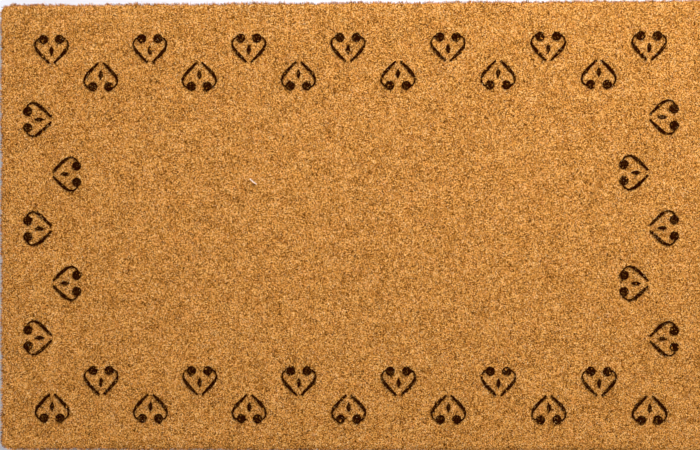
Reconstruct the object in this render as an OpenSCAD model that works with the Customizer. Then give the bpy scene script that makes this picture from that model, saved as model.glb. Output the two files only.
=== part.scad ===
// Hand-woven coir brush mat: a mesh of coir yarns carries rows of cut coir
// tufts, and a plaited coir edge is lashed all round it with twine.
// +X runs along the mat, +Y across it, and the mat lies on z = 0.

/* [Mat] */
// Length of the finished mat, over the pile
mat_l = 889; // [600:1:1200]
// Width of the finished mat, over the pile
mat_w = 559; // [380:1:800]
// Height of the finished mat, to the tuft tips
mat_h = 35; // [26:0.5:50]
// Radius of the mat's corners
corner_r = 12; // [6:0.5:16]

/* [Woven base] */
// Diameter of the warp yarns, which run along the mat
warp_d = 3.2; // [2.4:0.1:4]
// How far the lower warp yarns are pressed flat on the floor
warp_press = 0.4; // [0.2:0.1:0.8]
// Target distance between neighbouring warp yarns
warp_pitch = 13.2; // [10:0.1:20]
// Diameter of the weft yarns, which run across the mat
weft_d = 4.15; // [3:0.05:5.5]

/* [Edge] */
// Width of the plaited edge
braid_w = 14; // [11:0.5:18]
// Height of the plaited edge and of the cords that it is lashed to
braid_h = 10; // [8:0.5:12]
// How far the pile stands out past the plaited edge and its lashing
edge_cover = 2.5; // [1:0.5:6]
// Bend radius of the plaited edge at a corner, on its centre line
braid_turn = 10; // [9.5:0.5:16]
// Diameter of the lashing twine
twine_d = 1.6; // [1:0.1:2.2]
// Target distance between lashings
lash_pitch = 26; // [18:1:45]
// Free space beside the twine where it passes between two yarns
twine_play = 0.15; // [0.1:0.05:0.5]

/* [Pile] */
// Number of pile sections, each a group of neighbouring tuft rows
sections = 24; // [12:1:26]
// Bevel along the tips of each tuft row
tip_bevel = 0.9; // [0.3:0.1:1.5]
// Gap between the heads of neighbouring tuft rows
head_gap = 0.1; // [0.05:0.05:0.4]

/* [Stencilled hearts] */
// Depth of dyed coir at the tuft tips
dye_depth = 1; // [0.5:0.1:2]
// Width of one heart
heart_w = 44; // [34:1:48]
// Hearts in each outer row along the long sides
hearts_long = 7; // [5:1:9]
// Hearts in each outer column between those rows
hearts_short = 3; // [2:1:4]
// Distance between neighbouring hearts of one row
heart_pitch = 125.5; // [100:0.5:140]
// Distance between neighbouring hearts of one column
column_pitch = 138.5; // [100:0.5:150]
// Distance from the mat's long edge to the centre of its outer hearts
row_inset = 52; // [40:0.5:60]
// Distance from the mat's short edge to the centre of its outer hearts
column_inset = 50; // [40:0.5:60]
// Distance from an outer row to its inner row, centre to centre
row_step = 35; // [32:0.5:45]
// Distance from an outer column to its inner column, centre to centre
column_step = 37; // [32:0.5:45]
// How far the stencilled pattern lies off the mat's middle, along and across
stencil_x = -2.5; // [-10:0.5:10]
stencil_y = -2; // [-10:0.5:10]

/* [Hidden] */
$fn = 48;

// The woven base, from the floor up
lower_warp_top = warp_d - warp_press;
weft_z = lower_warp_top + weft_d / 2;
weft_top = lower_warp_top + weft_d;
upper_warp_z = weft_top + warp_d / 2;
foot_z = weft_top + warp_d;

// The edge is lashed by loops that hold the plait against an edge cord
cord_r = braid_h / 2;
loop_z = twine_d + cord_r;
loop_r = cord_r + twine_d / 2;
pile_top = mat_h - dye_depth;

// Half sizes: the pile, the outside of the plait, and the cords' centre lines
pile_x = mat_l / 2;
pile_y = mat_w / 2;
braid_x = pile_x - edge_cover - twine_d;
braid_y = pile_y - edge_cover - twine_d;
cord_x = braid_x - braid_w - cord_r;
cord_y = braid_y - braid_w - cord_r;

// Tuft rows and weft shots share one spacing, which leaves room for the twine
row_gap = twine_d + 2 * twine_play;
// The tufts spread above the lashings, and at least a gap above their feet
head_z = max(2 * loop_z, foot_z + row_gap);
rows = floor((mat_l + head_gap) / (weft_d + row_gap));
row_pitch = (mat_l + head_gap) / rows;
// Tufts and wefts stop where the loops round the end cords begin
base_x = cord_x - cord_r - twine_d - twine_play;
base_y = cord_y - cord_r - twine_d - twine_play;
weave_rows = [for (i = [0 : rows - 1]) if (abs(row_x(i)) + weft_d / 2 <= base_x) i];

// An odd number of warps, so that one lies on the centre line
warps_a_side = floor((base_y - warp_d / 2) / warp_pitch);
warp_step = (base_y - warp_d / 2) / warps_a_side;

// The middles of the gaps between wefts and between warps
row_gaps = [for (i = [1 : len(weave_rows) - 1]) row_x(weave_rows[i]) - row_pitch / 2];
warp_gaps = [for (i = [1 - warps_a_side : warps_a_side]) (i - 0.5) * warp_step];

// Each heart is drawn in units of a heart of this width, tip pointing to -Y
heart_unit = 43.7;
heart_scale = heart_w / heart_unit;

PARTS = ["front", "middle", "back"];
QUARTERS = ["far_left", "near_left", "near_right", "far_right"];
SIDES = ["front", "back", "left", "right"];

function pile_name(k) = str("pile_section_", k < 10 ? "0" : "", k);

// Centre of a tuft row along the mat
function row_x(i) = (i - (rows - 1) / 2) * row_pitch;

// How far inside an edge cord's centre line a yarn that fills the heights from
// low to high stops, so that its end just meets the cord
function butt(low, high) =
    let (dz = max(0, low - loop_z, loop_z - high))
    dz < cord_r ? sqrt(cord_r * cord_r - dz * dz) : 0;

// Which of n groups item i of a list of count items belongs to
function group_of(i, count, n) = floor(i * n / count);

// The section a tuft row belongs to. Rows past the weave have no feet, so they
// go with the last row that has one
function section_of(i) =
    i <= weave_rows[0] ? 0
    : i >= weave_rows[len(weave_rows) - 1] ? sections - 1
    : group_of(i, rows, sections);

// The gaps that hold a lashing, out of a list of gaps with that pitch
function lashed(gaps, pitch) =
    let (skip = max(1, round(lash_pitch / pitch)))
    [for (i = [floor(skip / 2) : skip : len(gaps) - 1]) gaps[i]];

// ---- woven base ----

module lower_warp(y) {
    reach = cord_x - butt(0, lower_warp_top);
    difference() {
        translate([-reach, y, warp_d / 2 - warp_press])
            rotate([0, 90, 0]) cylinder(d = warp_d, h = 2 * reach);
        translate([-reach - 1, y - warp_d, -warp_d])
            cube([2 * reach + 2, 2 * warp_d, warp_d]);
    }
}

module upper_warp(y) {
    reach = cord_x - butt(weft_top, foot_z);
    translate([-reach, y, upper_warp_z])
        rotate([0, 90, 0]) cylinder(d = warp_d, h = 2 * reach);
}

module weft_shot(x) {
    reach = cord_y - butt(lower_warp_top, weft_top);
    translate([x, reach, weft_z])
        rotate([90, 0, 0]) cylinder(d = weft_d, h = 2 * reach);
}

// One third of the warps, counted from the front of the mat
module warps(third, upper) {
    count = 2 * warps_a_side + 1;
    color(upper ? "#8a6a3c" : "#7d5f35")
        for (i = [0 : count - 1])
            if (group_of(i, count, len(PARTS)) == third)
                if (upper) upper_warp((i - warps_a_side) * warp_step);
                else lower_warp((i - warps_a_side) * warp_step);
}

module weft_shots(quarter) {
    count = len(weave_rows);
    color("#94713f")
        for (i = [0 : count - 1])
            if (group_of(i, count, len(QUARTERS)) == quarter)
                weft_shot(row_x(weave_rows[i]));
}

// ---- edge cords, plait and lashings ----

// A thick cord along the long side: the wefts turn back round it
module selvage_cord(side) {
    half = cord_x + cord_r - turn_inset();
    color("#85643a")
        translate([-half, side * cord_y, loop_z])
            rotate([0, 90, 0]) cylinder(r = cord_r, h = 2 * half);
}

// A thick cord along the short side, between the two selvage cords
module end_cord(side) {
    half = cord_y - cord_r;
    color("#85643a")
        translate([side * cord_x, half, loop_z])
            rotate([90, 0, 0]) cylinder(r = cord_r, h = 2 * half);
}

// The cords stop short of the plait where it starts to turn
function turn_inset() = max(0, braid_turn - braid_w / 2);

// Section of the plait: flat above and below, round at both sides
module plait_section() {
    flat = braid_w - braid_h;
    translate([-flat / 2, -braid_h / 2]) square([flat, braid_h]);
    for (s = [-1, 1]) translate([s * flat / 2, 0]) circle(d = braid_h);
}

// A straight length of the plait, centred on a side's middle
module plait_length(half) {
    translate([-half, 0, loop_z])
        rotate([90, 0, 90]) linear_extrude(2 * half) plait_section();
}

plait_x = braid_x - braid_w / 2;
plait_y = braid_y - braid_w / 2;

module edge_plait(side) {
    along = side == "front" || side == "back";
    way = side == "front" || side == "left" ? -1 : 1;
    color("#a07a44")
        if (along) translate([0, way * plait_y, 0]) plait_length(plait_x - braid_turn);
        else translate([way * plait_x, 0, 0])
            rotate([0, 0, 90]) plait_length(plait_y - braid_turn);
}

module edge_plait_corners() {
    color("#a07a44")
        for (sx = [0, 1]) mirror([sx, 0, 0])
            for (sy = [0, 1]) mirror([0, sy, 0])
                translate([plait_x - braid_turn, plait_y - braid_turn, loop_z])
                    rotate_extrude(angle = 90)
                        translate([braid_turn, 0]) plait_section();
}

// One closed loop of twine round the plait and the cord, in the YZ plane:
// y = 0 is the cord's centre line and the plait lies towards +Y
module lashing_loop() {
    far = braid_w;
    for (end = [0, 1])
        translate([0, end * far, loop_z])
            rotate([0, 90, 0]) rotate([0, 0, end == 0 ? 180 : 0])
                rotate_extrude(angle = 180)
                    translate([loop_r, 0]) circle(d = twine_d);
    for (s = [-1, 1])
        translate([0, 0, loop_z + s * loop_r])
            rotate([-90, 0, 0]) cylinder(d = twine_d, h = far);
}

module lashing(side) {
    along = side == "front" || side == "back";
    places = along ? lashed(row_gaps, row_pitch) : lashed(warp_gaps, warp_step);
    turn = side == "front" ? 180 : side == "back" ? 0 : side == "left" ? 90 : -90;
    inset = along ? cord_y : cord_x;
    color("#c9a46a")
        rotate([0, 0, turn])
            for (p = places) translate([p, inset, 0]) lashing_loop();
}

// ---- pile ----

// The spread upper part of a tuft row, with bevelled tips
module tuft_head(x) {
    half = (row_pitch - head_gap) / 2;
    translate([x, pile_y, 0])
        rotate([90, 0, 0]) linear_extrude(mat_w) polygon([
            [-half, head_z], [half, head_z],
            [half, pile_top - tip_bevel], [half - tip_bevel, pile_top],
            [tip_bevel - half, pile_top], [-half, pile_top - tip_bevel]
        ]);
}

// What is trimmed off the tufts to round the two corners at one end
module corner_trim(end) {
    over = 1;
    for (sy = [-1, 1])
        translate([end * (pile_x - corner_r), sy * (pile_y - corner_r), 0])
            linear_extrude(mat_h) difference() {
                translate([end > 0 ? 0 : -corner_r - over, sy > 0 ? 0 : -corner_r - over])
                    square(corner_r + over);
                circle(r = corner_r);
            }
}

// One tuft row across the mat: its foot is pinched between two weft shots and
// its head spreads until it almost meets the next row
module tuft_row(i) {
    x = row_x(i);
    if (abs(x) + row_pitch / 2 > pile_x - corner_r)
        difference() {
            tuft_head(x);
            corner_trim(sign(x));
        }
    else tuft_head(x);
    if (abs(x) + weft_d / 2 <= base_x)
        translate([x - weft_d / 2, -base_y, foot_z])
            cube([weft_d, 2 * base_y, head_z - foot_z]);
}

module pile_section(k) {
    color(k % 2 == 0 ? "#c4883f" : "#bf8238")
        for (i = [0 : rows - 1])
            if (section_of(i) == k - 1) tuft_row(i);
}

// ---- stencilled hearts ----

// A point on a quadratic curve from a to c that leans towards b
function bend(a, b, c, t) = (1 - t) * (1 - t) * a + 2 * t * (1 - t) * b + t * t * c;

// Centre line of a heart's right-hand stroke: from the dot round the lobe, then
// down the flank to the tip
LOBE_STEPS = 5;
FLANK_STEPS = 4;
LOBE_CENTRE = [12.6, 6];
LOBE_R = 8.4;
LOBE_START = 75;
LOBE_END = -28;
FLANK_BEND = [18.6, -2.5];
TIP = [3, -17.4];
function lobe_point(a) = LOBE_CENTRE + LOBE_R * [cos(a), sin(a)];
STROKE = concat(
    [for (i = [0 : LOBE_STEPS]) lobe_point(LOBE_START + i * (LOBE_END - LOBE_START) / LOBE_STEPS)],
    [for (i = [1 : FLANK_STEPS])
        bend(lobe_point(LOBE_END), FLANK_BEND, TIP, i / FLANK_STEPS)]
);

// Half width of the stroke: fine round the lobe, full on the flank, then fading
function stroke_half(t) = 0.8 + 0.35 * t + 1.05 * pow(sin(180 * pow(t, 2.6)), 2);

function unit(v) = v / norm(v);
function side_at(i) =
    let (a = STROKE[max(i - 1, 0)], b = STROKE[min(i + 1, len(STROKE) - 1)], d = unit(b - a))
    [-d[1], d[0]];

module heart_stroke() {
    last = len(STROKE) - 1;
    left = [for (i = [0 : last]) STROKE[i] + side_at(i) * stroke_half(i / last)];
    right = [for (i = [last : -1 : 0]) STROKE[i] - side_at(i) * stroke_half(i / last)];
    polygon(concat(left, right));
}

// The leaf between the dots, pointed at both ends
module heart_leaf() {
    length = 12.6;
    top = 4.2;
    half_w = 2.5;
    steps = 8;
    edge = [for (i = [0 : steps])
        let (t = i / steps) [half_w * sin(180 * t), top - length * t]];
    polygon(concat(edge, [for (i = [steps - 1 : -1 : 1]) [-edge[i][0], edge[i][1]]]));
}

DOT_CENTRE = [10.2, 12.7];
DOT_R = 5.7;

// One heart's dyed tips, lobes towards +Y before it is turned
module heart(x, y, turn) {
    translate([x, y, pile_top]) rotate([0, 0, turn]) scale([heart_scale, heart_scale, 1])
        linear_extrude(dye_depth) {
            for (m = [0, 1]) mirror([m, 0]) union() {
                translate(DOT_CENTRE) circle(r = DOT_R);
                heart_stroke();
            }
            heart_leaf();
        }
}

// A line of hearts, evenly spaced about the middle of its side. Outer hearts
// have their lobes towards the edge, inner ones towards the middle of the mat
module hearts(side, inner) {
    along = side == "front" || side == "back";
    way = side == "front" || side == "left" ? -1 : 1;
    count = (along ? hearts_long : hearts_short) - (inner ? 1 : 0);
    pitch = along ? heart_pitch : column_pitch;
    step = along ? row_step : column_step;
    inset = (along ? row_inset : column_inset) + (inner ? step : 0);
    turn = (along ? (way > 0 ? 0 : 180) : (way > 0 ? -90 : 90)) + (inner ? 180 : 0);
    color("#24140c")
        for (i = [0 : count - 1]) {
            place = (i - (count - 1) / 2) * pitch;
            if (along) heart(place + stencil_x, way * (pile_y - inset) + stencil_y, turn);
            else heart(way * (pile_x - inset) + stencil_x, place + stencil_y, turn);
        }
}

for (i = [0 : len(PARTS) - 1]) {
    warps(i, false);
    warps(i, true);
}
for (i = [0 : len(QUARTERS) - 1])
    weft_shots(i);
selvage_cord(-1);  // selvage_cord_front
selvage_cord(1);  // selvage_cord_back
end_cord(-1);  // end_cord_left
end_cord(1);  // end_cord_right
edge_plait_corners();
for (s = SIDES) {
    edge_plait(s);
    lashing(s);
    hearts(s, false);
    hearts(s, true);
}
for (k = [1 : sections])
    pile_section(k);
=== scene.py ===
import math

import bpy
import numpy as np
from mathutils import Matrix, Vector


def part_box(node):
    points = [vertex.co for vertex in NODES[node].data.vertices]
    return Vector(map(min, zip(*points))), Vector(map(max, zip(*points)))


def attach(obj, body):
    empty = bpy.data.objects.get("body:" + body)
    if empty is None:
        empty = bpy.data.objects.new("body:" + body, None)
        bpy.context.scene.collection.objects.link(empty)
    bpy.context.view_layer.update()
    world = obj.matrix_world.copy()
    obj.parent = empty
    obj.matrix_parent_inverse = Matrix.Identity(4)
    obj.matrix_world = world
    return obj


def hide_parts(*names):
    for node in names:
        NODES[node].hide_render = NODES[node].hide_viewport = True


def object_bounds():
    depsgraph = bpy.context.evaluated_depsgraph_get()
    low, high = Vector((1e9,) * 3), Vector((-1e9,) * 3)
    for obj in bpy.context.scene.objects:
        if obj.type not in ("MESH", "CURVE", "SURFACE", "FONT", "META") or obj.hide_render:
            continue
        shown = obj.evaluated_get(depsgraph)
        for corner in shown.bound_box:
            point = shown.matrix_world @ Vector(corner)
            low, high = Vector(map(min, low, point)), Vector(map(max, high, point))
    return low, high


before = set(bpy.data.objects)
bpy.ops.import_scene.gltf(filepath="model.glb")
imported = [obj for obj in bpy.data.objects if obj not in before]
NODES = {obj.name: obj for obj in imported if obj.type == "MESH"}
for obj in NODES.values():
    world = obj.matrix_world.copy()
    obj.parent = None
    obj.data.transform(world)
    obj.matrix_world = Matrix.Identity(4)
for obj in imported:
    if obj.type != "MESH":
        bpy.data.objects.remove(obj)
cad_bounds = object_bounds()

ROOT = "root"


# ---- Camera, floor and light ----
# The mat is seen from straight above, from a little right of its middle, so its
# right-hand side looks slightly larger. It lies on pale paper under soft lamps.

camera_data = bpy.data.cameras.new("camera")
camera_data.lens = 65.05
camera = bpy.data.objects.new("camera", camera_data)
camera.location = (0.0508, 0.0030, 1.6257)
camera.rotation_euler = (math.radians(-0.035), math.radians(1.845), math.radians(-0.077))
bpy.context.scene.collection.objects.link(camera)
bpy.context.scene.camera = camera
bpy.context.scene.view_settings.view_transform = "Standard"


class Net:
    """A shader or geometry node tree, built one node at a time."""

    def __init__(self, tree):
        self.tree = tree

    def add(self, kind, settings=None, inputs=None):
        """Adds a node: its settings first, then the values or links of its sockets."""
        node = self.tree.nodes.new(kind)
        for key, value in (settings or {}).items():
            if key == "stops":
                ramp = node.color_ramp
                while len(ramp.elements) < len(value):
                    ramp.elements.new(0.5)
                for element, (position, colour) in zip(ramp.elements, value):
                    element.position = position
                    element.color = (*colour, 1)
            else:
                setattr(node, key, value)
        for key, value in (inputs or {}).items():
            self.feed(node.inputs[key], value)
        return node

    def feed(self, target, value):
        """Links a socket or a Value to a socket, or sets a constant on it."""
        if isinstance(value, Value):
            value = value.socket
        if isinstance(value, bpy.types.NodeSocket):
            self.tree.links.new(value, target)
        else:
            target.default_value = value

    def value(self, node, output=0):
        return Value(self, node.outputs[output])


class Value:
    """One number in a tree. Arithmetic on it adds Math nodes."""

    def __init__(self, net, socket):
        self.net = net
        self.socket = socket

    def maths(self, operation, *inputs):
        node = self.net.add("ShaderNodeMath", {"operation": operation}, dict(enumerate(inputs)))
        return self.net.value(node)

    def __add__(self, other):
        return self.maths("ADD", self, other)

    def __radd__(self, other):
        return self.maths("ADD", other, self)

    def __sub__(self, other):
        return self.maths("SUBTRACT", self, other)

    def __rsub__(self, other):
        return self.maths("SUBTRACT", other, self)

    def __mul__(self, other):
        return self.maths("MULTIPLY", self, other)

    def __rmul__(self, other):
        return self.maths("MULTIPLY", other, self)

    def __truediv__(self, other):
        return self.maths("DIVIDE", self, other)

    def __gt__(self, other):
        return self.maths("GREATER_THAN", self, other)

    def __lt__(self, other):
        return self.maths("LESS_THAN", self, other)

    def sin(self):
        return self.maths("SINE", self)

    def cos(self):
        return self.maths("COSINE", self)

    def size(self):
        return self.maths("ABSOLUTE", self)

    def sign(self):
        return self.maths("SIGN", self)

    def at_least(self, low):
        return self.maths("MAXIMUM", self, low)

    def at_most(self, high):
        return self.maths("MINIMUM", self, high)


def material(name):
    """A new node material, its net and its Principled shader."""
    made = bpy.data.materials.new(name)
    made.use_nodes = True
    return made, Net(made.node_tree), made.node_tree.nodes["Principled BSDF"]


def mesh_object(name, vertices, faces, surface=None):
    """A mesh object at the origin, with its place in its vertices."""
    mesh = bpy.data.meshes.new(name)
    mesh.from_pydata(vertices, [], faces)
    if surface:
        mesh.materials.append(surface)
    made = bpy.data.objects.new(name, mesh)
    bpy.context.scene.collection.objects.link(made)
    return made


FLOOR_HALF = 3.0
floor_paper, net, shader = material("floor_paper")
shader.inputs["Base Color"].default_value = (0.69, 0.70, 0.765, 1)
shader.inputs["Roughness"].default_value = 0.9
floor_corners = [(-1, -1), (1, -1), (1, 1), (-1, 1)]
floor_vertices = [(x * FLOOR_HALF, y * FLOOR_HALF, 0) for x, y in floor_corners]
floor = mesh_object("floor", floor_vertices, [(0, 1, 2, 3)], floor_paper)

studio = bpy.data.worlds.new("studio")
studio.use_nodes = True
studio.node_tree.nodes["Background"].inputs["Color"].default_value = (1, 1, 1, 1)
studio.node_tree.nodes["Background"].inputs["Strength"].default_value = 0.48
bpy.context.scene.world = studio


def soft_box(name, place, size, watts):
    """A square lamp that points at the mat's middle."""
    lamp = bpy.data.lights.new(name, "AREA")
    lamp.shape = "SQUARE"
    lamp.size = size
    lamp.energy = watts
    holder = bpy.data.objects.new(name, lamp)
    holder.location = place
    holder.rotation_euler = (-holder.location).to_track_quat("-Z", "Y").to_euler()
    bpy.context.scene.collection.objects.link(holder)


soft_box("key_light", (0.75, 1.15, 1.35), 0.7, 41.5)
soft_box("fill_light", (-1.4, 0.6, 1.7), 1.2, 11)


# ---- Pile bed ----
# The body of the pile: tufts packed so close that between their tips only the
# tops of other fibres show. It has a soft shoulder all round, and its sides draw
# in towards the woven base, because the outermost tufts lean out over the edge.

# how far the outermost tufts lean out past the plaited edge
FLARE_X = 0.0020
FLARE_Y = 0.0045
PILE_X, PILE_Y, TIP_Z = (float(value) for value in cad_bounds[1])
PILE_X += FLARE_X
PILE_Y += FLARE_Y
CORNER_R = 0.012

ROWS_IN_SECTION = 6
HEAD_GAP = 0.0001
section_low, section_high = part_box("pile_section_02")
ROW_PITCH = (section_high.x - section_low.x + HEAD_GAP) / ROWS_IN_SECTION

BED_ALONG = 320
BED_ACROSS = 200
BED_DEPTH = 0.0020
BED_INSET = 0.0030
BED_LUMP = 0.00045
BED_WAVE = 0.00025
BED_DROP = 0.0045
BED_FOOT_Z = 0.0135
BED_DRAW_IN = 0.009
BED_LEVELS = (0.12, 0.3, 0.55, 0.8, 1.0)
SHOULDER = 0.010

# wavelength, phase and height of the waves that tufts make along the outline
SCALLOPS = [(0.0123, 1.3, 0.0005), (0.0310, 0.4, 0.0005), (0.0171, 2.2, 0.0004), (0.1400, 0.9, 0.0006)]


def scallop(t, sine=np.sin):
    """How far the outline stands out at a distance t along a side."""
    waves = (height * sine(t * (2 * math.pi / length) + phase) for length, phase, height in SCALLOPS)
    return sum(waves)


def outline_y(x):
    """Half width of the pile at x, with the corners rounded."""
    past = np.clip(np.abs(x) - (PILE_X - CORNER_R), 0, CORNER_R)
    return PILE_Y - CORNER_R + np.sqrt(CORNER_R**2 - past**2)


def near_edge(t, half, reach):
    """0 inside, rising to 1 at the outline over the last reach, with t's sign."""
    return np.clip((np.abs(t) - (half - reach)) / reach, 0, 1) * np.sign(t)


def closed_bed():
    """The bed's vertices and faces: a lumpy top, drawn-in sides and a flat floor."""
    x_line = np.linspace(-1, 1, BED_ALONG) * (PILE_X - BED_INSET)
    v_line = np.linspace(-1, 1, BED_ACROSS)
    x, v = np.meshgrid(x_line, v_line, indexing="ij")
    y = v * (outline_y(x) - BED_INSET)
    x_edge = near_edge(x, PILE_X, SHOULDER)
    y_edge = near_edge(y, PILE_Y, SHOULDER)
    lumps = np.random.default_rng(7).normal(0, 1, x.shape)
    lumps = (lumps + np.roll(lumps, 1, 0) + np.roll(lumps, 1, 1)) / 3
    row_wave = np.cos(2 * math.pi * x / ROW_PITCH)
    z = TIP_Z - BED_DEPTH + BED_LUMP * lumps + BED_WAVE * row_wave
    z -= BED_DROP * (x_edge**2 + y_edge**2)
    x = x + x_edge * np.abs(x_edge) * scallop(y)
    y = y + y_edge * np.abs(y_edge) * scallop(x)
    vertices = [np.stack([x, y, z], -1).reshape(-1, 3)]
    index = np.arange(x.size).reshape(x.shape)
    corners = [index[:-1, :-1], index[1:, :-1], index[1:, 1:], index[:-1, 1:]]
    faces = [np.stack(corners, -1).reshape(-1, 4)]
    rim = np.concatenate([index[:-1, 0], index[-1, :-1], index[:0:-1, -1], index[0, :0:-1]])
    top_ring = vertices[0][rim]
    last, count = rim, len(rim)
    for step in BED_LEVELS:
        ring = top_ring.copy()
        ring[:, 2] = top_ring[:, 2] + (BED_FOOT_Z - top_ring[:, 2]) * step
        draw_in = 1 - BED_DRAW_IN * step**1.5 / np.array([PILE_X, PILE_Y])
        ring[:, :2] = top_ring[:, :2] * draw_in
        start = x.size + count * (len(vertices) - 1)
        here = start + np.arange(count)
        faces.append(np.stack([last, here, np.roll(here, -1), np.roll(last, -1)], -1))
        vertices.append(ring)
        last = here
    flat = [row for part in faces for row in part.tolist()]
    flat.append(last[::-1].tolist())
    return np.concatenate(vertices).tolist(), flat


# colour of the fibre, from the painted shade between tips to the palest straw
COIR_SHADES = [
    (0.0, (0.030, 0.009, 0.001)),
    (0.14, (0.22, 0.070, 0.005)),
    (0.5, (0.71, 0.298, 0.050)),
    (0.82, (0.96, 0.51, 0.150)),
    (1.0, (0.99, 0.70, 0.37)),
]

pile_bed, net, shader = material("pile_bed")
place = net.add("ShaderNodeTexCoord").outputs["Object"]
cells = net.add("ShaderNodeTexVoronoi", {"feature": "F1"}, {"Vector": place, "Scale": 1000.0})
split = net.add("ShaderNodeSeparateColor", inputs={0: cells.outputs["Color"]})
grain = net.value(split)
# a few cells are painted near-black, as the shade in pits between the tufts
painted_pit_shade = net.value(split, 1) > 0.92
rounding = net.value(cells, "Distance")
tufts = net.add("ShaderNodeTexNoise", inputs={"Vector": place, "Scale": 130.0, "Detail": 3.0})
patch = net.value(tufts, "Fac")
fields = net.add("ShaderNodeTexNoise", {"noise_dimensions": "2D"}, {
    "Vector": place, "Scale": 38.0, "Detail": 2.0})
broad = net.value(fields, "Fac") - 0.5
# painted shade: the colour also darkens towards each cell's rim, between the fibre ends
tone = (grain * 0.8 + patch * 0.35 - rounding * 0.5 + broad * 0.12 + 0.14) * (1 - painted_pit_shade * 0.8)
colour = net.add("ShaderNodeValToRGB", {"stops": COIR_SHADES}, {"Fac": tone})
net.feed(shader.inputs["Base Color"], colour.outputs["Color"])
shader.inputs["Roughness"].default_value = 0.85
shader.inputs["Specular IOR Level"].default_value = 0.05
bump = net.add("ShaderNodeBump", inputs={"Strength": 1.0, "Distance": 0.0012, "Height": 1 - rounding})
net.feed(shader.inputs["Normal"], bump.outputs["Normal"])

bed_vertices, bed_faces = closed_bed()
bed = mesh_object("pile_bed", bed_vertices, bed_faces, pile_bed)
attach(bed, ROOT)


# ---- Pile fibres ----
# Rows of coir fibre, cut level by a blade. Each fibre stands nearly upright with
# a blunt end of its own tilt and shade, and near the edge they lean outwards.

FIBRE_LENGTH = 0.0045
FIBRE_R = 0.00044
FIBRES_PER_M2 = 280000
FIBRE_DROP = 0.0042
EDGE_LEAN = 0.8
WILD_SHARE = 0.05
GAP_SHADE_SHARE = 0.06
PALE_SHARE = 0.03
SOAKED_Z = TIP_Z - 0.0005
HEART_MARGIN = 0.0002
BAND_INSET = 0.0006
BAND_POINTS = 9


def coir_material(name, stops):
    """Fibre whose colour follows its own shade, a little uneven along its length."""
    made, net, shader = material(name)
    place = net.add("ShaderNodeTexCoord").outputs["Object"]
    shade = net.value(net.add("ShaderNodeAttribute", {"attribute_name": "shade"}), "Fac")
    noise = net.add("ShaderNodeTexNoise", inputs={"Vector": place, "Scale": 500.0, "Detail": 1.0})
    tone = shade + (net.value(noise, "Fac") - 0.5) * 0.3
    ramp = net.add("ShaderNodeValToRGB", {"stops": stops}, {"Fac": tone})
    net.feed(shader.inputs["Base Color"], ramp.outputs["Color"])
    shader.inputs["Roughness"].default_value = 0.85
    shader.inputs["Specular IOR Level"].default_value = 0.05
    return made


def new_tree(name, sockets):
    """A geometry node tree with these named inputs after its geometry input."""
    tree = bpy.data.node_groups.new(name, "GeometryNodeTree")
    tree.interface.new_socket("Geometry", in_out="INPUT", socket_type="NodeSocketGeometry")
    for label, kind, value in sockets:
        socket = tree.interface.new_socket(label, in_out="INPUT", socket_type=kind)
        if value is not None:
            socket.default_value = value
    tree.interface.new_socket("Geometry", in_out="OUTPUT", socket_type="NodeSocketGeometry")
    net = Net(tree)
    return net, net.add("NodeGroupInput"), net.add("NodeGroupOutput")


def grown(name, base, net, inputs):
    """What the tree makes of a base mesh, as a plain mesh piece of its own."""
    holder = bpy.data.objects.new(name + "_holder", base)
    bpy.context.scene.collection.objects.link(holder)
    modifier = holder.modifiers.new("tree", "NODES")
    modifier.node_group = net.tree
    for item in net.tree.interface.items_tree:
        if item.in_out == "INPUT" and item.name in inputs:
            modifier[item.identifier] = inputs[item.name]
    depsgraph = bpy.context.evaluated_depsgraph_get()
    mesh = bpy.data.meshes.new_from_object(holder.evaluated_get(depsgraph), depsgraph=depsgraph)
    mesh.name = name
    bpy.data.objects.remove(holder)
    made = bpy.data.objects.new(name, mesh)
    bpy.context.scene.collection.objects.link(made)
    return made


def finish_tree(net, given, result, geometry):
    """Ends a tree: instances made real, then the material."""
    real = net.add("GeometryNodeRealizeInstances", inputs={0: geometry})
    painted = net.add("GeometryNodeSetMaterial", inputs={
        "Geometry": real.outputs[0], "Material": given.outputs["Material"]})
    net.feed(result.inputs[0], painted.outputs[0])


def chances(net, seed):
    """A maker of random numbers for a tree, each with a salt of its own."""
    def chance(low, high, salt):
        node = net.add("FunctionNodeRandomValue", {"data_type": "FLOAT"}, {
            "Seed": seed + salt, 2: low, 3: high})
        return net.value(node, 1)
    return chance


def blunt_fibre(net):
    """One fibre of unit length and radius, with its cut end at the origin."""
    fibre = net.add("GeometryNodeMeshCone", {"fill_type": "NGON"}, {
        "Vertices": 3, "Side Segments": 1, "Radius Top": 0.75, "Radius Bottom": 1.0, "Depth": 1.0})
    return net.add("GeometryNodeTransform", inputs={
        "Geometry": fibre.outputs[0], "Translation": (0, 0, -1)}).outputs[0]


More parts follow.
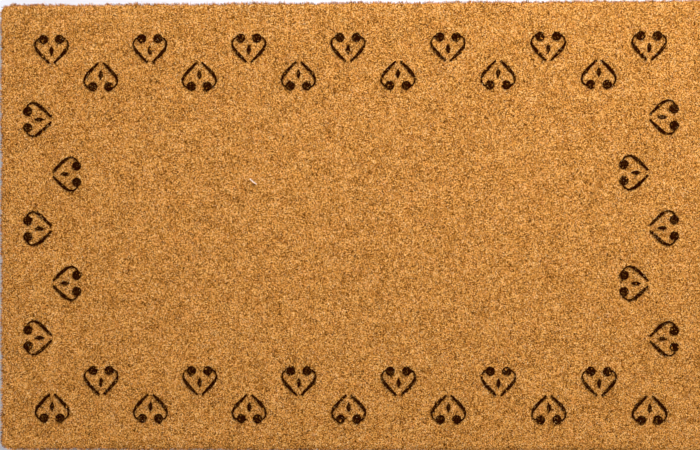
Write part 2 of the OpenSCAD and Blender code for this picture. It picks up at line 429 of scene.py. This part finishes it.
def fibre_tree():
    """Coir fibres that hang by their cut tips from random points of a flat base."""
    net, given, result = new_tree("coir_fibres", [
        ("Density", "NodeSocketFloat", 1000.0),
        ("Seed", "NodeSocketInt", 0),
        ("Length", "NodeSocketFloat", FIBRE_LENGTH),
        ("Radius", "NodeSocketFloat", FIBRE_R),
        ("Spread", "NodeSocketFloat", 0.22),
        ("Uneven", "NodeSocketFloat", 0.0020),
        ("Ragged", "NodeSocketFloat", 0.0012),
        ("Hearts", "NodeSocketObject", None),
        ("Keep Inside", "NodeSocketFloat", 0.0),
        ("Keep Base", "NodeSocketBool", False),
        ("Material", "NodeSocketMaterial", None),
    ])
    chance = chances(net, net.value(given, "Seed"))
    sizes = ("Length", "Radius", "Spread", "Uneven", "Ragged", "Keep Inside")
    inputs = {name: net.value(given, name) for name in sizes}

    facing = net.add("ShaderNodeSeparateXYZ", inputs={0: net.add("GeometryNodeInputNormal").outputs[0]})
    points = net.add("GeometryNodeDistributePointsOnFaces", {"distribute_method": "RANDOM"}, {
        "Mesh": given.outputs["Geometry"],
        "Density": net.value(given, "Density") * (net.value(facing, 2) > 0.9),
        "Seed": given.outputs["Seed"]})
    position = net.add("GeometryNodeInputPosition").outputs[0]
    split = net.add("ShaderNodeSeparateXYZ", inputs={0: position})
    x, y = (net.value(split, i) for i in range(2))

    # near the outline the fibres lean out, stand lower and follow the scallops
    def edge(coordinate, half):
        reach = (coordinate.size() - (half - SHOULDER)) / SHOULDER
        return reach.at_least(0.0) * coordinate.sign()

    edge_x, edge_y = edge(x, PILE_X), edge(y, PILE_Y)
    drop = (edge_x * edge_x + edge_y * edge_y) * FIBRE_DROP
    shift_x = edge_x * edge_x.size() * scallop(y, Value.sin)
    shift_y = edge_y * edge_y.size() * scallop(x, Value.sin)

    # fibres of one tuft lean together, and each one a little on its own
    swirl = net.add("ShaderNodeTexNoise", {"noise_dimensions": "2D"}, {
        "Vector": position, "Scale": 150.0, "Detail": 1.0})
    tuft = net.add("ShaderNodeSeparateXYZ", inputs={0: swirl.outputs["Color"]})
    wild = 1 + (chance(0, 1, 10) > 1 - WILD_SHARE) * 1.8
    own_x, own_y = (chance(-1, 1, 11 + i) + (net.value(tuft, i) - 0.5) * 2.5 for i in range(2))
    lean_x = own_x * inputs["Spread"] * wild + edge_x * EDGE_LEAN
    lean_y = own_y * inputs["Spread"] * 1.4 * wild + edge_y * EDGE_LEAN
    lean = net.add("ShaderNodeCombineXYZ", inputs={0: lean_x, 1: lean_y, 2: 1.0})
    turn = net.add("FunctionNodeAxisAngleToRotation", inputs={
        "Axis": (0, 0, 1), "Angle": chance(0, 2 * math.pi, 13)})
    aim = net.add("FunctionNodeAlignRotationToVector", {"axis": "Z"}, {
        "Rotation": turn.outputs[0], "Vector": lean.outputs[0]})

    # a few near-black fibres, painted shade that stands for the dark gaps between tufts, and a few pale
    # ones stand at the very top
    painted_gap_shade = chance(0, 1, 19) < GAP_SHADE_SHARE
    pale = chance(0, 1, 20) < PALE_SHARE
    depth = (chance(0, 1, 14) * (1 - painted_gap_shade.at_least(pale)) * inputs["Uneven"] + drop) * -1.0
    stray_x, stray_y = (chance(-1, 1, salt) * inputs["Ragged"] for salt in (21, 22))
    shift = net.add("ShaderNodeCombineXYZ", inputs={0: shift_x + stray_x, 1: shift_y + stray_y, 2: depth})
    levelled = net.add("GeometryNodeSetPosition", inputs={
        "Geometry": points.outputs[0], "Offset": shift.outputs[0]})

    length = inputs["Length"] * chance(0.8, 1.15, 15)
    radius = inputs["Radius"] * chance(0.6, 1.4, 16)
    size = net.add("ShaderNodeCombineXYZ", inputs={0: radius, 1: radius, 2: length})

    # plain fibres are left out where a dyed one stands, all but a few
    hearts = net.add("GeometryNodeObjectInfo", inputs={"Object": given.outputs["Hearts"]})
    level = net.add("ShaderNodeCombineXYZ", inputs={0: x, 1: y, 2: SOAKED_Z})
    near = net.add("GeometryNodeProximity", {"target_element": "FACES"}, {
        "Geometry": hearts.outputs["Geometry"], "Sample Position": level.outputs[0]})
    inside = net.value(near, "Distance") < HEART_MARGIN
    dropped = inside * (chance(0, 1, 17) > inputs["Keep Inside"])
    kept = net.add("GeometryNodeDeleteGeometry", {"domain": "POINT"}, {
        "Geometry": levelled.outputs[0], "Selection": dropped})

    placed = net.add("GeometryNodeInstanceOnPoints", inputs={
        "Points": kept.outputs[0], "Instance": blunt_fibre(net), "Rotation": aim.outputs[0],
        "Scale": size.outputs[0]})
    patches = [net.value(net.add("ShaderNodeTexNoise", {"noise_dimensions": "2D"}, {
        "Vector": position, "Scale": scale, "Detail": 2.0}), "Fac") - 0.5 for scale in (160.0, 38.0)]
    # painted shade: fibres over the valleys between the rows are a little darker
    painted_row_valley_shade = (x * (2 * math.pi / ROW_PITCH) + math.pi / 2).sin() * 0.03
    tone = chance(0, 1, 18) * 0.86 + patches[0] * 0.3 + patches[1] * 0.5 + painted_row_valley_shade + 0.10
    shade = tone * (1 - painted_gap_shade) + pale * 0.35
    shaded = net.add("GeometryNodeStoreNamedAttribute", {"data_type": "FLOAT", "domain": "INSTANCE"}, {
        "Geometry": placed.outputs[0], "Name": "shade", "Value": shade})
    base = net.add("GeometryNodeSwitch", {"input_type": "GEOMETRY"}, {
        "Switch": given.outputs["Keep Base"], "True": given.outputs["Geometry"]})
    joined = net.add("GeometryNodeJoinGeometry", inputs={0: base.outputs[0]})
    net.feed(joined.inputs[0], shaded.outputs[0])
    finish_tree(net, given, result, joined.outputs[0])
    return net


def band(name, low_x, high_x):
    """A flat strip of the pile's top between two places along the mat."""
    end_x = PILE_X - FLARE_X - ROW_PITCH * 2
    low_x = low_x if low_x > -end_x else BAND_INSET - PILE_X
    high_x = high_x if high_x < end_x else PILE_X - BAND_INSET
    xs = np.linspace(low_x, high_x, BAND_POINTS)
    half = outline_y(xs) - BAND_INSET
    vertices = [(x, side * h, TIP_Z) for x, h in zip(xs.tolist(), half.tolist()) for side in (-1, 1)]
    faces = [(2 * i, 2 * i + 2, 2 * i + 3, 2 * i + 1) for i in range(len(xs) - 1)]
    mesh = bpy.data.meshes.new(name)
    mesh.from_pydata(vertices, [], faces)
    return mesh


def joined_meshes(name, sources):
    """One object with the faces of several CAD nodes, to measure nearness to them."""
    vertices, faces = [], []
    for source in sources:
        start = len(vertices)
        vertices += [tuple(v.co) for v in source.vertices]
        faces += [tuple(start + i for i in p.vertices) for p in source.polygons]
    return mesh_object(name, vertices, faces)


hearts = [name for name in sorted(NODES) if "hearts" in name]
stencil = joined_meshes("stencil", [NODES[name].data for name in hearts])
coir_pile = coir_material("coir_pile", COIR_SHADES)
fibres = fibre_tree()
sections = [name for name in sorted(NODES) if name.startswith("pile_section")]
for number, name in enumerate(sections):
    low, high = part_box(name)
    piece = grown(name + "_fibres", band(name, low[0], high[0]), fibres, {
        "Density": float(FIBRES_PER_M2),
        "Seed": 100 + 40 * number,
        "Hearts": stencil,
        "Keep Inside": 0.02,
        "Material": coir_pile,
    })
    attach(piece, ROOT)
    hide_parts(name)


# ---- Stencilled hearts ----
# Dye is dabbed through a stencil on to the cut tips, so only the top of these
# fibres is brown-black. It soaks in between them, misses a spot here and there,
# and its edges follow single fibres.

SOAKED_DEPTH = 0.0012
DYED_LENGTH = 0.0028
DYED_R = 0.00048
DYED_DENSITY = 2.6
TOP_BAND = 0.0005

DYE_SHADES = [
    (0.0, (0.012, 0.0012, 0.0001)),
    (0.50, (0.027, 0.0046, 0.0004)),
    (0.75, (0.090, 0.030, 0.005)),
    (0.95, (0.26, 0.110, 0.020)),
]

dyed_coir, net, shader = material("dyed_coir")
place = net.add("ShaderNodeTexCoord").outputs["Object"]
shade = net.value(net.add("ShaderNodeAttribute", {"attribute_name": "shade"}), "Fac")
speckle = net.add("ShaderNodeTexNoise", inputs={"Vector": place, "Scale": 600.0, "Detail": 2.0})
grain = net.value(speckle, "Fac")
dye = net.add("ShaderNodeValToRGB", {"stops": DYE_SHADES}, {"Fac": shade * 0.8 + grain * 0.5 - 0.12})
undyed = net.add("ShaderNodeValToRGB", {"stops": COIR_SHADES}, {"Fac": shade * 0.5 + 0.3})
spots = net.add("ShaderNodeTexNoise", inputs={"Vector": place, "Scale": 260.0, "Detail": 3.0})
missed = net.add("ShaderNodeMapRange", inputs={
    "Value": spots.outputs["Fac"], "From Min": 0.64, "From Max": 0.68})
colour = net.add("ShaderNodeMix", {"data_type": "RGBA"}, {
    0: missed.outputs[0], 6: dye.outputs["Color"], 7: undyed.outputs["Color"]})
net.feed(shader.inputs["Base Color"], colour.outputs[2])
shader.inputs["Roughness"].default_value = 0.9
shader.inputs["Specular IOR Level"].default_value = 0.0


def soaked_hearts(name):
    """One node's hearts as closed blocks that stop just below the tips."""
    mesh = NODES[name].data.copy()
    top = max(vertex.co.z for vertex in mesh.vertices)
    for vertex in mesh.vertices:
        vertex.co.z = SOAKED_Z if vertex.co.z > top - TOP_BAND else SOAKED_Z - SOAKED_DEPTH
    mesh.materials.clear()
    return mesh


for number, name in enumerate(hearts):
    piece = grown(name + "_tips", soaked_hearts(name), fibres, {
        "Density": float(FIBRES_PER_M2 * DYED_DENSITY),
        "Seed": 3000 + 40 * number,
        "Length": DYED_LENGTH,
        "Radius": DYED_R,
        "Spread": 0.6,
        "Uneven": -0.0008,
        "Ragged": 0.0005,
        "Hearts": stencil,
        "Keep Inside": 1.0,
        "Keep Base": True,
        "Material": dyed_coir,
    })
    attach(piece, ROOT)
    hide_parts(name)
bpy.data.objects.remove(stencil)


# ---- Edge tufts ----
# The outermost tufts fan out over the plaited edge and hide it from above. Their
# fibres run from the woven base up and outwards, and shears trim them unevenly.

TUFT_ROOT_Z = 0.011
FRINGE_LOW_Z = 0.0145
FRINGE_HIGH_Z = 0.0335
FRINGE_CURL = 0.0050
FRINGE_CURL_Z = 0.028
FRINGE_TOP_CURL = 0.0025
FRINGE_TOP_CURL_Z = 0.029
FRINGE_STEPS = 4
FRINGE_POINTS = 1400
FRINGE_LENGTH = 0.016
FRINGE_PER_M2 = 300000


def fringe_tree():
    """Fibres that lean out over the edge, hung by their tips from a standing strip."""
    net, given, result = new_tree("edge_fibres", [
        ("Density", "NodeSocketFloat", 1000.0),
        ("Seed", "NodeSocketInt", 0),
        ("Radius", "NodeSocketFloat", 0.0003),
        ("Material", "NodeSocketMaterial", None),
    ])
    chance = chances(net, net.value(given, "Seed"))
    points = net.add("GeometryNodeDistributePointsOnFaces", {"distribute_method": "RANDOM"}, {
        "Mesh": given.outputs["Geometry"],
        "Density": given.outputs["Density"],
        "Seed": given.outputs["Seed"]})
    outward = net.add("ShaderNodeSeparateXYZ", inputs={0: points.outputs["Normal"]})
    place = net.add("ShaderNodeSeparateXYZ", inputs={0: net.add("GeometryNodeInputPosition").outputs[0]})
    reach = chance(0.005, 0.010, 11)
    lean = net.add("ShaderNodeCombineXYZ", inputs={
        0: net.value(outward, 0) * reach + chance(-0.003, 0.003, 12),
        1: net.value(outward, 1) * reach + chance(-0.003, 0.003, 13),
        2: net.value(place, 2) - TUFT_ROOT_Z})
    aim = net.add("FunctionNodeAlignRotationToVector", {"axis": "Z"}, {"Vector": lean.outputs[0]})
    reached = net.add("ShaderNodeVectorMath", {"operation": "LENGTH"}, {0: lean.outputs[0]})
    length = net.value(reached, "Value").at_most(FRINGE_LENGTH)
    radius = net.value(given, "Radius") * chance(0.6, 1.4, 14)
    size = net.add("ShaderNodeCombineXYZ", inputs={0: radius, 1: radius, 2: length})
    stray = chance(-0.0016, 0.0012, 15) + (chance(0, 1, 16) > 0.93) * chance(0.0, 0.0026, 18)
    shift = net.add("ShaderNodeVectorMath", {"operation": "SCALE"}, {
        0: points.outputs["Normal"], "Scale": stray})
    moved = net.add("GeometryNodeSetPosition", inputs={
        "Geometry": points.outputs[0], "Offset": shift.outputs[0]})
    placed = net.add("GeometryNodeInstanceOnPoints", inputs={
        "Points": moved.outputs[0], "Instance": blunt_fibre(net), "Rotation": aim.outputs[0],
        "Scale": size.outputs[0]})
    shaded = net.add("GeometryNodeStoreNamedAttribute", {"data_type": "FLOAT", "domain": "INSTANCE"}, {
        "Geometry": placed.outputs[0], "Name": "shade", "Value": chance(0.1, 0.95, 17)})
    finish_tree(net, given, result, shaded.outputs[0])
    return net


def round_the_edge(t, half_x, half_y, bend):
    """A place on a rounded rectangle, a distance t round it, and the way out there."""
    flat_x, flat_y = half_x - bend, half_y - bend
    turn = math.pi / 2 * bend
    half = 2 * (flat_x + flat_y + turn)
    sign = 1
    if t >= half:
        t, sign = t - half, -1
    if t < 2 * flat_x:
        point, way = (t - flat_x, -half_y), (0.0, -1.0)
    elif t < 2 * flat_x + turn:
        angle = (t - 2 * flat_x) / bend - math.pi / 2
        way = (math.cos(angle), math.sin(angle))
        point = (flat_x + bend * way[0], -flat_y + bend * way[1])
    elif t < 2 * (flat_x + flat_y) + turn:
        point, way = (half_x, t - 2 * flat_x - turn - flat_y), (1.0, 0.0)
    else:
        angle = (t - 2 * (flat_x + flat_y) - turn) / bend
        way = (math.cos(angle), math.sin(angle))
        point = (flat_x + bend * way[0], flat_y + bend * way[1])
    return np.array(point) * sign, np.array(way) * sign


def length_round(half_x, half_y, bend):
    """The whole way round a rounded rectangle."""
    return 4 * (half_x + half_y - 2 * bend) + 2 * math.pi * bend


def side_strip(name, ring):
    """A standing strip along part of the outline that curls in towards its foot."""
    x, y, way_x, way_y = ring.T
    out = scallop(y) * np.abs(way_x) + scallop(x) * np.abs(way_y)
    vertices = []
    for level in range(FRINGE_STEPS + 1):
        z = FRINGE_LOW_Z + (FRINGE_HIGH_Z - FRINGE_LOW_Z) * level / FRINGE_STEPS
        below = max(0, (FRINGE_CURL_Z - z) / (FRINGE_CURL_Z - FRINGE_LOW_Z))
        above = max(0, (z - FRINGE_TOP_CURL_Z) / (FRINGE_HIGH_Z - FRINGE_TOP_CURL_Z))
        reach = out - FRINGE_CURL * below**2 - FRINGE_TOP_CURL * above**2
        vertices += [(px, py, z) for px, py in zip(x + way_x * reach, y + way_y * reach)]
    count = len(ring)
    faces = [
        (level * count + i, level * count + i + 1, (level + 1) * count + i + 1, (level + 1) * count + i)
        for level in range(FRINGE_STEPS) for i in range(count - 1)
    ]
    mesh = bpy.data.meshes.new(name)
    mesh.from_pydata(vertices, [], faces)
    return mesh


pile_size = (PILE_X, PILE_Y, CORNER_R)
ring_step = length_round(*pile_size) / FRINGE_POINTS
ring = np.array([np.concatenate(round_the_edge(ring_step * i, *pile_size)) for i in range(FRINGE_POINTS)])
on_right = ring[:, 0] > PILE_X - CORNER_R
on_left = ring[:, 0] < CORNER_R - PILE_X
edge_sides = {
    "front": (ring[:, 1] < 0) & ~on_right & ~on_left,
    "right": on_right,
    "back": (ring[:, 1] > 0) & ~on_right & ~on_left,
    "left": on_left,
}
fringe = fringe_tree()
for number, (side, chosen) in enumerate(edge_sides.items()):
    picked = np.flatnonzero(chosen)
    picked = np.append(picked, (picked[-1] + 1) % len(ring))
    piece = grown("edge_tufts_" + side, side_strip(side, ring[picked]), fringe, {
        "Density": float(FRINGE_PER_M2), "Seed": 5000 + 40 * number, "Material": coir_pile})
    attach(piece, ROOT)


# ---- Woven base ----
# Two-ply coir yarns: warps run along the mat below and above the wefts, which run
# across it, one between the feet of each pair of tuft rows.

YARN_SHADES = [
    (0.0, (0.05, 0.018, 0.005)),
    (0.45, (0.30, 0.15, 0.045)),
    (1.0, (0.62, 0.38, 0.15)),
]


def yarn_material(name, stops, streak, painted_groove_shade=0.35):
    """Spun coir: streaks that follow the lay, and painted shade in the groove between neighbouring plies.
    """
    made, net, shader = material(name)
    along = net.value(net.add("ShaderNodeAttribute", {"attribute_name": "along"}), "Fac")
    around = net.add("ShaderNodeAttribute", {"attribute_name": "around"})
    lay = net.add("ShaderNodeCombineXYZ", inputs={0: along * streak})
    spot = net.add("ShaderNodeVectorMath", {"operation": "MULTIPLY_ADD"}, {
        0: around.outputs["Vector"], 1: (0.0, 2.4, 2.4), 2: lay.outputs[0]})
    noise = net.value(net.add("ShaderNodeTexNoise", inputs={
        "Vector": spot.outputs[0], "Scale": 2.2, "Detail": 3.0, "Roughness": 0.65}), "Fac")
    ridge = net.value(net.add("ShaderNodeAttribute", {"attribute_name": "ridge"}), "Fac")
    # painted shade: the colour darkens where the profile dips between the plies
    tone = (noise - 0.5) * 1.6 + 0.5 + (ridge - 0.6) * painted_groove_shade
    ramp = net.add("ShaderNodeValToRGB", {"stops": stops}, {"Fac": tone})
    net.feed(shader.inputs["Base Color"], ramp.outputs["Color"])
    bump = net.add("ShaderNodeBump", inputs={"Strength": 0.7, "Distance": 0.0006, "Height": noise})
    net.feed(shader.inputs["Normal"], bump.outputs["Normal"])
    shader.inputs["Roughness"].default_value = 0.85
    shader.inputs["Specular IOR Level"].default_value = 0.15
    return made


def rope_tree():
    """Ropes along the edges of a base mesh, their plies twisted about each other."""
    net, given, result = new_tree("twisted_ropes", [
        ("Radius", "NodeSocketFloat", 0.002),
        ("Plies", "NodeSocketInt", 2),
        ("Groove", "NodeSocketFloat", 0.2),
        ("Turns Per Metre", "NodeSocketFloat", 40.0),
        ("Step", "NodeSocketFloat", 0.005),
        ("Ring Points", "NodeSocketInt", 6),
        ("Material", "NodeSocketMaterial", None),
    ])
    line = net.add("GeometryNodeMeshToCurve", inputs={0: given.outputs["Geometry"]})
    even = net.add("GeometryNodeResampleCurve", {"mode": "LENGTH"}, {
        "Curve": line.outputs[0], "Length": given.outputs["Step"]})
    along = net.value(net.add("GeometryNodeSplineParameter"), "Length")
    twisted = net.add("GeometryNodeSetCurveTilt", inputs={
        "Curve": even.outputs[0], "Tilt": along * net.value(given, "Turns Per Metre") * (2 * math.pi)})
    marked = net.add("GeometryNodeStoreNamedAttribute", {"data_type": "FLOAT", "domain": "POINT"}, {
        "Geometry": twisted.outputs[0], "Name": "along", "Value": along})

    circle = net.add("GeometryNodeCurvePrimitiveCircle", inputs={
        "Resolution": given.outputs["Ring Points"], "Radius": 1.0})
    factor = net.value(net.add("GeometryNodeSplineParameter"), "Factor")
    ridge = (factor * net.value(given, "Plies") * (2 * math.pi)).cos() * 0.5 + 0.5
    where = net.add("GeometryNodeInputPosition").outputs[0]
    around = net.add("ShaderNodeSeparateXYZ", inputs={0: where})
    crosswise = net.add("ShaderNodeCombineXYZ", inputs={1: net.value(around, 0), 2: net.value(around, 1)})
    profile = circle.outputs[0]
    for label, kind, value in (("ridge", "FLOAT", ridge), ("around", "FLOAT_VECTOR", crosswise.outputs[0])):
        profile = net.add("GeometryNodeStoreNamedAttribute", {"data_type": kind, "domain": "POINT"}, {
            "Geometry": profile, "Name": label, "Value": value}).outputs[0]
    grooved = net.value(given, "Radius") * (1 - (1 - ridge) * net.value(given, "Groove"))
    scaled = net.add("ShaderNodeVectorMath", {"operation": "SCALE"}, {0: where, "Scale": grooved})
    shaped = net.add("GeometryNodeSetPosition", inputs={"Geometry": profile, "Position": scaled.outputs[0]})
    swept = net.add("GeometryNodeCurveToMesh", inputs={
        "Curve": marked.outputs[0], "Profile Curve": shaped.outputs[0], "Fill Caps": True})
    finish_tree(net, given, result, swept.outputs[0])
    return net


def lines(name, paths, closed=False):
    """A mesh of edges along each path."""
    vertices, edges = [], []
    for path in paths:
        start, count = len(vertices), len(path)
        vertices += [tuple(map(float, point)) for point in path]
        edges += [(start + i, start + i + 1) for i in range(count - 1)]
        if closed:
            edges.append((start + count - 1, start))
    mesh = bpy.data.meshes.new(name)
    mesh.from_pydata(vertices, edges, [])
    return mesh


def rope_piece(name, paths, slot, surface, replaced, closed=False, **sizes):
    """A piece of ropes along these paths, which stands for the CAD nodes replaced."""
    inputs = {key.replace("_", " ").title(): value for key, value in sizes.items()}
    piece = grown(name, lines(name, paths, closed), ropes, {**inputs, "Material": surface})
    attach(piece, ROOT)
    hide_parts(*replaced)
    return piece


def straight_yarns(node, axis, pitch):
    """Centre lines and radius of the straight yarns of one node, along an axis."""
    low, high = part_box(node)
    across = 1 - axis
    radius = (high.z - low.z) / 2
    count = round((high[across] - low[across] - 2 * radius) / pitch) + 1
    places = np.linspace(low[across] + radius, high[across] - radius, count)
    paths = []
    for place in places:
        ends = [[0, 0, (low.z + high.z) / 2], [0, 0, (low.z + high.z) / 2]]
        for end, limit in zip(ends, (low, high)):
            end[axis] = limit[axis]
            end[across] = place
        paths.append(ends)
    return paths, radius


ropes = rope_tree()
weft_coir = yarn_material("weft_yarn", YARN_SHADES, 90.0)
for name in sorted(NODES):
    if name.startswith("weft_shots"):
        paths, radius = straight_yarns(name, 1, ROW_PITCH)
        rope_piece(name + "_yarns", paths, "weft_yarn", weft_coir, [name], radius=radius)

# the gap between neighbouring lower warps and the thickness of a round one
warp_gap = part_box("lower_warps_back")[0].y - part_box("lower_warps_middle")[1].y
upper_low, upper_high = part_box("upper_warps_middle")
WARP_PITCH = warp_gap + (upper_high.z - upper_low.z)
warp_coir = yarn_material("warp_yarn", YARN_SHADES, 90.0)
for name in sorted(NODES):
    if name.startswith("lower_warps"):
        paths, radius = straight_yarns(name, 0, WARP_PITCH)
        rope_piece(name + "_yarns", paths, "warp_yarn", warp_coir, [name], radius=radius)

# the upper warps are buried in the tufts' feet, so their plain solids stay
buried_warp, net, shader = material("buried_warp")
place = net.add("ShaderNodeTexCoord").outputs["Object"]
streaks = net.add("ShaderNodeVectorMath", {"operation": "MULTIPLY"}, {0: place, 1: (90.0, 900.0, 900.0)})
grain = net.add("ShaderNodeTexNoise", inputs={"Vector": streaks.outputs[0], "Scale": 1.0, "Detail": 3.0})
colour = net.add("ShaderNodeValToRGB", {"stops": YARN_SHADES}, {"Fac": grain.outputs["Fac"]})
net.feed(shader.inputs["Base Color"], colour.outputs["Color"])
shader.inputs["Roughness"].default_value = 0.85
for name in sorted(NODES):
    if name.startswith("upper_warps"):
        NODES[name].data.materials.clear()
        NODES[name].data.materials.append(buried_warp)


# ---- Edge cords ----
# A thick three-ply coir cord lies along each side. The wefts and warps end at it,
# and the lashings take hold of it.

cord_coir = yarn_material("edge_cord", YARN_SHADES, 60.0, 0.5)
for name in sorted(NODES):
    if name.startswith(("selvage_cord", "end_cord")):
        low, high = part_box(name)
        middle = (low + high) / 2
        radius = (high.z - low.z) / 2
        axis = 0 if name.startswith("selvage") else 1
        ends = [middle.copy(), middle.copy()]
        ends[0][axis], ends[1][axis] = low[axis], high[axis]
        rope_piece(name + "_rope", [ends], "edge_cord", cord_coir, [name], radius=radius, plies=3,
                   groove=0.16, turns_per_metre=24.0, step=0.003, ring_points=12)


# ---- Edge plait ----
# Three strands of coir rope are plaited flat and laid round the whole mat, with
# the corners turned in a small bend.

front_low, front_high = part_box("edge_plait_front")
right_low, right_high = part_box("edge_plait_right")
PLAIT_W = front_high.y - front_low.y
PLAIT_H = front_high.z - front_low.z
PLAIT_Z = (front_high.z + front_low.z) / 2
PLAIT_X = (right_low.x + right_high.x) / 2
PLAIT_Y = -(front_low.y + front_high.y) / 2
PLAIT_TURN = PLAIT_X - front_high.x
STRAND_R = 0.0027
STRAND_REPEAT = 0.036
PLAIT_STEPS = 18

PLAIT_SHADES = [(0.0, (0.10, 0.042, 0.010)), (0.45, (0.42, 0.22, 0.065)), (1.0, (0.75, 0.48, 0.20))]


plait_size = (PLAIT_X, PLAIT_Y, PLAIT_TURN)
plait_round = length_round(*plait_size)
repeats = round(plait_round / STRAND_REPEAT)
strands = []
for strand in range(3):
    path = []
    for step in range(repeats * PLAIT_STEPS):
        phase = 2 * math.pi * (step / PLAIT_STEPS + strand / 3)
        point, way = round_the_edge(plait_round * step / (repeats * PLAIT_STEPS), *plait_size)
        point = point + way * (PLAIT_W / 2 - STRAND_R) * math.sin(phase)
        path.append((*point, PLAIT_Z + (PLAIT_H / 2 - STRAND_R) * math.sin(2 * phase)))
    strands.append(path)
plait_nodes = [name for name in sorted(NODES) if name.startswith("edge_plait")]
plait_coir = yarn_material("edge_plait", PLAIT_SHADES, 60.0, 0.5)
rope_piece("edge_plait", strands, "edge_plait", plait_coir, plait_nodes, closed=True,
           radius=STRAND_R, plies=2, groove=0.2, turns_per_metre=55.0, step=0.0028, ring_points=8)


# ---- Lashings ----
# Loops of thin light twine hold the plait to the edge cords. Each passes through a
# gap of the weave.

LOOP_BEND_STEPS = 8
GAP_BETWEEN_LOOPS = 0.005

TWINE_SHADES = [(0.0, (0.22, 0.11, 0.035)), (0.5, (0.60, 0.38, 0.16)), (1.0, (0.85, 0.64, 0.36))]
twine = yarn_material("lashing_twine", TWINE_SHADES, 150.0, 0.5)


def lashing_paths(node):
    """The closed loops of one side's lashings, from the places of the CAD ones."""
    low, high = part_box(node)
    axis = 0 if high.x - low.x > high.y - low.y else 1
    across = 1 - axis
    places = np.unique(np.round([vertex.co[axis] for vertex in NODES[node].data.vertices], 5))
    groups = np.split(places, np.flatnonzero(np.diff(places) > GAP_BETWEEN_LOOPS) + 1)
    thick = float(np.median([group[-1] - group[0] for group in groups]))
    bend = (high.z - low.z - thick) / 2
    ends = (low[across] + thick / 2 + bend, high[across] - thick / 2 - bend)
    paths = []
    for group in groups:
        path = []
        for end, start in zip(ends, (math.pi / 2, -math.pi / 2)):
            for step in range(LOOP_BEND_STEPS + 1):
                angle = start + math.pi * step / LOOP_BEND_STEPS
                point = [0.0, 0.0, (low.z + high.z) / 2 + bend * math.sin(angle)]
                point[axis] = (group[0] + group[-1]) / 2
                point[across] = end + bend * math.cos(angle)
                path.append(point)
        paths.append(path)
    return paths, thick / 2


for name in sorted(NODES):
    if name.startswith("lashing"):
        paths, radius = lashing_paths(name)
        rope_piece(name + "_twine", paths, "lashing_twine", twine, [name], closed=True,
                   radius=radius, turns_per_metre=130.0, step=0.0026)


# ---- Stray straw ----
# One pale bit of straw lies loose on the pile, a little left of the middle.

STRAW_AT = (-0.1225, 0.0567)
STRAW_R = 0.0005
STRAW_LONG_X = 0.0084
STRAW_LONG_Y = 0.0068
STRAW_LIFT = 0.0008
STRAW_STEPS = 8
straw_coir, net, shader = material("pale_straw")
place = net.add("ShaderNodeTexCoord").outputs["Object"]
grain = net.add("ShaderNodeTexNoise", inputs={"Vector": place, "Scale": 900.0, "Detail": 2.0})
colour = net.add("ShaderNodeValToRGB", {
    "stops": [(0.3, (0.85, 0.70, 0.62)), (0.6, (1.0, 0.95, 0.92))]}, {"Fac": grain.outputs["Fac"]})
net.feed(shader.inputs["Base Color"], colour.outputs["Color"])
shader.inputs["Roughness"].default_value = 0.5
straw = []
for step in range(STRAW_STEPS + 1):
    t = step / STRAW_STEPS - 0.5
    straw_x = STRAW_AT[0] + STRAW_LONG_X * t + 0.001 * t * t
    straw_y = STRAW_AT[1] - STRAW_LONG_Y * t + 0.002 * t * t
    straw.append((straw_x, straw_y, TIP_Z + STRAW_LIFT + 0.0006 * abs(t)))
rope_piece("stray_straw", [straw], "coir_pile", straw_coir, [], radius=STRAW_R, plies=1,
           groove=0.1, turns_per_metre=0.0, step=0.001)
